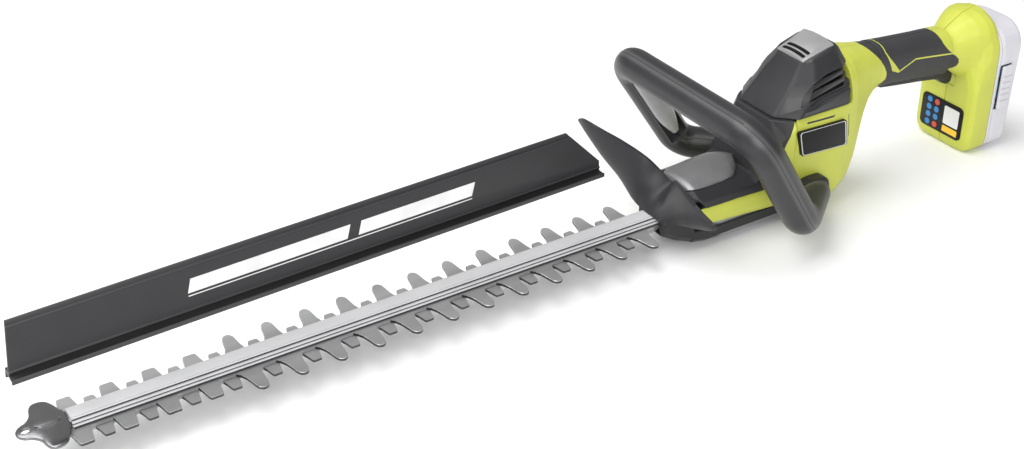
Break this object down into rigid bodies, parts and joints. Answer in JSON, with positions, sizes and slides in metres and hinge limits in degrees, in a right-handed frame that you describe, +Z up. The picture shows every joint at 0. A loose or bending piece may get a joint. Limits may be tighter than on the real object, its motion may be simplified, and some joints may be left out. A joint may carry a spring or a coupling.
{
  "type": "cordless hedge trimmer",
  "caption": "Cordless hedge trimmer with two reciprocating toothed blades on a guide bar, hand guard, loop front handle, pistol rear grip, slide-on battery pack and a lift-off debris panel.",
  "frame": {"origin": "centre of the bounding box in plan, on the floor plane that the battery dock's foot touches", "axes": "+X from the blade tip towards the battery, +Y to the far side of the tool, +Z up"},
  "size_m": [0.9123, 0.2012, 0.1518],
  "materials": {
    "dark_steel": "black oxide, fine satin",
    "pack_plastic": "pale grey moulded plastic",
    "contact_brass": "plated contact",
    "dark_plastic": "fine-grained moulded plastic",
    "lime_shell": "satin moulded plastic",
    "cell_sleeve": "shrink sleeve",
    "cast_alloy": "cast, unpolished",
    "blade_steel": "ground and brushed",
    "silver_trim": "satin grey trim",
    "bar_aluminium": "extruded, brushed along its length",
    "label_black": "smooth black plate",
    "winding_copper": "lacquered winding wire",
    "grip_rubber": "soft overmould"
  },
  "bodies": {
    "housing": {"body_shell_near": "lime_shell", "body_shell_far": "lime_shell", "motor_cover": "dark_plastic", "motor_cap": "silver_trim", "gear_cover": "dark_plastic", "nose_fairing": "silver_trim", "belly_cover": "dark_plastic", "hand_guard": "dark_plastic", "guide_bar": "bar_aluminium", "bar_clamp_screw": "dark_steel", "tip_guard": "dark_steel", "blade_bolt_1": "dark_steel", "blade_bolt_2": "dark_steel", "blade_bolt_3": "dark_steel", "blade_bolt_4": "dark_steel", "blade_bolt_5": "dark_steel", "gear_case": "cast_alloy", "gear_case_lid": "cast_alloy", "crank_bearing_lower": "cast_alloy", "crank_bearing_upper": "cast_alloy", "motor_can": "cast_alloy", "handle_front_shell": "dark_plastic", "handle_rear_shell": "dark_plastic", "handle_mount_near": "dark_plastic", "handle_mount_far": "dark_plastic", "front_switch": "pack_plastic", "rear_grip_near": "grip_rubber", "rear_grip_far": "grip_rubber", "trigger_pin": "blade_steel", "trigger_switch": "dark_plastic", "dock_terminals": "dark_plastic", "label_plate_near": "label_black", "label_plate_far": "label_black", "shell_screw_1": "dark_steel", "shell_screw_2": "dark_steel", "shell_screw_3": "dark_steel"},
    "crank": {"crankshaft": "blade_steel", "drive_gear": "dark_steel"},
    "rotor": {"motor_rotor": "winding_copper", "motor_pinion": "blade_steel", "cooling_fan": "dark_plastic"},
    "upper_blade_set": {"upper_blade": "blade_steel", "upper_yoke": "blade_steel"},
    "lower_blade_set": {"lower_blade": "blade_steel", "lower_yoke": "blade_steel"},
    "trigger": {"trigger": "dark_plastic"},
    "front_lever": {"front_switch_lever": "silver_trim"},
    "battery": {"battery_case": "pack_plastic", "battery_lid": "pack_plastic", "battery_contacts": "contact_brass", "cell_1": "cell_sleeve", "cell_2": "cell_sleeve", "cell_3": "cell_sleeve", "cell_4": "cell_sleeve", "cell_5": "cell_sleeve"},
    "latch_near": {"latch_near": "dark_plastic"},
    "latch_far": {"latch_far": "dark_plastic"},
    "debris_panel": {"debris_panel": "dark_plastic"}
  },
  "joints": [
    {"name": "crank_spin", "type": "hinge", "parent": "housing", "child": "crank", "pos_m": [0.18745, 0, 0.024], "axis": [0, 0, 1], "continuous": true},
    {"name": "rotor_spin", "type": "hinge", "parent": "housing", "child": "rotor", "pos_m": [0.21745, 0, 0.024], "axis": [0, 0, 1], "continuous": true},
    {"name": "upper_blade_slide", "type": "slide", "parent": "housing", "child": "upper_blade_set", "axis": [1, 0, 0], "range_m": [-0.008, 0.008]},
    {"name": "lower_blade_slide", "type": "slide", "parent": "housing", "child": "lower_blade_set", "axis": [1, 0, 0], "range_m": [-0.008, 0.008]},
    {"name": "trigger_pivot", "type": "hinge", "parent": "housing", "child": "trigger", "pos_m": [0.31545, 0, 0.092], "axis": [0, -1, 0], "range_deg": [0, 4], "stiffness_Nm_per_rad": 1.2, "springref_deg": -2.86},
    {"name": "front_lever_slide", "type": "slide", "parent": "housing", "child": "front_lever", "axis": [-0.5281, 0, 0.8492], "range_m": [0, 0.003], "stiffness_N_per_m": 400, "springref_m": -0.002},
    {"name": "battery_slide", "type": "slide", "parent": "housing", "child": "battery", "axis": [1, 0, 0], "range_m": [0, 0.06]},
    {"name": "latch_near_press", "type": "slide", "parent": "battery", "child": "latch_near", "axis": [0, 1, 0], "range_m": [0, 0.0015], "stiffness_N_per_m": 400, "springref_m": -0.001},
    {"name": "latch_far_press", "type": "slide", "parent": "battery", "child": "latch_far", "axis": [0, -1, 0], "range_m": [0, 0.0015], "stiffness_N_per_m": 400, "springref_m": -0.001},
    {"name": "panel_slide", "type": "slide", "parent": "housing", "child": "debris_panel", "axis": [0.6, 0, -0.8], "range_m": [0, 0.05]}
  ],
  "couplings": [
    {"joint": "rotor_spin", "follows": "crank_spin", "ratio": -5},
    {"joint": "lower_blade_slide", "follows": "upper_blade_slide", "ratio": -1}
  ]
}
